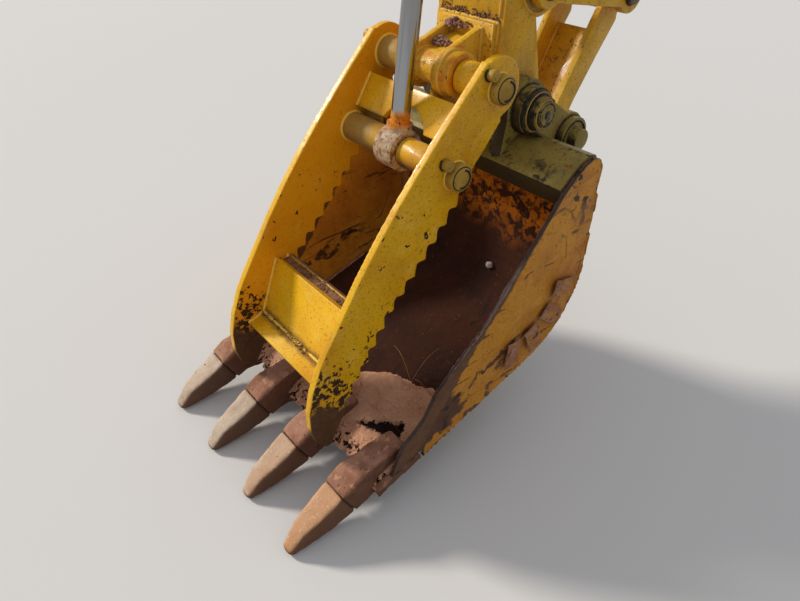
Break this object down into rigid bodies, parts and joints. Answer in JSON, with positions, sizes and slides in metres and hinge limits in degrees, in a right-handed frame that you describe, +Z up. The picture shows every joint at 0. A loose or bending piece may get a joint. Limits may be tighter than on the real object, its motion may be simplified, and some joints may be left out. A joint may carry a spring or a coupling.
{
  "type": "excavator dipper arm with bucket and hydraulic thumb",
  "caption": "Dipper arm of a crawler excavator with a toothed digging bucket, a hydraulic thumb, link and cylinders.",
  "frame": {"origin": "centre of the boom pin's bore at the arm's upper end", "axes": "+X away from the cab, +Y along the pins, +Z up as parked"},
  "size_m": [1.5458, 0.856, 3.8122],
  "materials": {
    "arm_paint": "worn machine yellow, gloss broken by dust, grease and chips",
    "thumb_paint": "newer yellow with chips, rust runs and torch-cut edges",
    "bucket_paint": "scraped ochre yellow over rust",
    "ear_grease": "old yellow under a film of dark grease",
    "inner_rust": "dark brown rust polished by soil",
    "lip_rust": "dusty red-brown worn steel",
    "tooth_steel": "tan to orange dust over cast steel",
    "boss_paint": "dull yellow, greasy round the pin",
    "pin_steel": "greasy dark steel",
    "seal_rubber": "matt black",
    "rod_chrome": "bright hard chrome"
  },
  "bodies": {
    "arm": {"stick_side_near": "arm_paint", "stick_side_far": "arm_paint", "stick_front_plate": "arm_paint", "stick_back_plate": "arm_paint", "stick_end_plate": "arm_paint", "boom_boss": "boss_paint", "nose_boss": "boss_paint", "rocker_boss": "boss_paint", "arm_cylinder_ears": "arm_paint", "bucket_cylinder_ears": "arm_paint", "thumb_bracket": "arm_paint", "thumb_cylinder_ears": "arm_paint", "base_pins": "pin_steel"},
    "bucket": {"bucket_side_near": "bucket_paint", "bucket_side_far": "bucket_paint", "bucket_wrapper": "inner_rust", "bucket_top_box": "ear_grease", "bucket_lip": "lip_rust", "bucket_ear_near": "ear_grease", "bucket_ear_far": "ear_grease", "bucket_pins": "ear_grease", "dust_seals": "seal_rubber", "tooth_adapters": "lip_rust", "tooth_1": "tooth_steel", "tooth_2": "tooth_steel", "tooth_3": "tooth_steel", "tooth_4": "tooth_steel", "heel_shrouds": "bucket_paint", "wear_strips": "inner_rust"},
    "thumb": {"thumb_plate_near": "thumb_paint", "thumb_plate_far": "thumb_paint", "thumb_tubes": "thumb_paint", "thumb_cross_plate": "thumb_paint", "thumb_gussets": "thumb_paint", "thumb_cross_box": "thumb_paint", "thumb_pins": "boss_paint"},
    "rocker": {"rocker_near": "arm_paint", "rocker_far": "arm_paint", "rocker_pins": "pin_steel"},
    "link": {"bucket_link": "arm_paint"},
    "bucket_barrel": {"bucket_cylinder_barrel": "arm_paint", "bucket_cylinder_gland": "arm_paint"},
    "bucket_rod": {"bucket_cylinder_rod": "rod_chrome"},
    "thumb_barrel": {"thumb_cylinder_barrel": "arm_paint", "thumb_cylinder_gland": "arm_paint"},
    "thumb_rod": {"thumb_cylinder_rod": "rod_chrome"}
  },
  "joints": [
    {"name": "bucket_curl", "type": "hinge", "parent": "arm", "child": "bucket", "pos_m": [-0.14128, 0, -2.24556], "axis": [0, 1, 0], "range_deg": [-66, 0]},
    {"name": "thumb_swing", "type": "hinge", "parent": "arm", "child": "thumb", "pos_m": [-0.34098, 0, -2.13349], "axis": [0, 1, 0], "range_deg": [0, 90]},
    {"name": "rocker_swing", "type": "hinge", "parent": "arm", "child": "rocker", "pos_m": [-0.0878, 0, -1.94224], "axis": [0, 1, 0], "range_deg": [-51.32, 0]},
    {"name": "link_swing", "type": "hinge", "parent": "rocker", "child": "link", "pos_m": [0.29702, 0, -2.00564], "axis": [0, 1, 0], "range_deg": [0, 38.12]},
    {"name": "bucket_barrel_swing", "type": "hinge", "parent": "arm", "child": "bucket_barrel", "pos_m": [0.31893, 0, -0.32968], "axis": [0, 1, 0], "range_deg": [0, 3.4]},
    {"name": "bucket_rod_slide", "type": "slide", "parent": "bucket_barrel", "child": "bucket_rod", "axis": [-0.0131, 0, -0.9999], "range_m": [-0.3254, 0]},
    {"name": "thumb_barrel_swing", "type": "hinge", "parent": "arm", "child": "thumb_barrel", "pos_m": [-0.33181, 0, -1.23336], "axis": [0, 1, 0], "range_deg": [0, 9.5]},
    {"name": "thumb_rod_slide", "type": "slide", "parent": "thumb_barrel", "child": "thumb_rod", "axis": [-0.1323, 0, -0.9912], "range_m": [-0.3152, 0]}
  ],
  "couplings": [
    {"joint": "rocker_swing", "follows": "bucket_curl", "ratio": 0.77},
    {"joint": "link_swing", "follows": "bucket_curl", "ratio": -0.57},
    {"joint": "bucket_barrel_swing", "follows": "bucket_curl", "ratio": -0.044},
    {"joint": "bucket_rod_slide", "follows": "bucket_curl", "m_per_rad": 0.28075},
    {"joint": "thumb_barrel_swing", "follows": "thumb_swing", "ratio": 0.1},
    {"joint": "thumb_rod_slide", "follows": "thumb_swing", "m_per_rad": -0.19939}
  ]
}
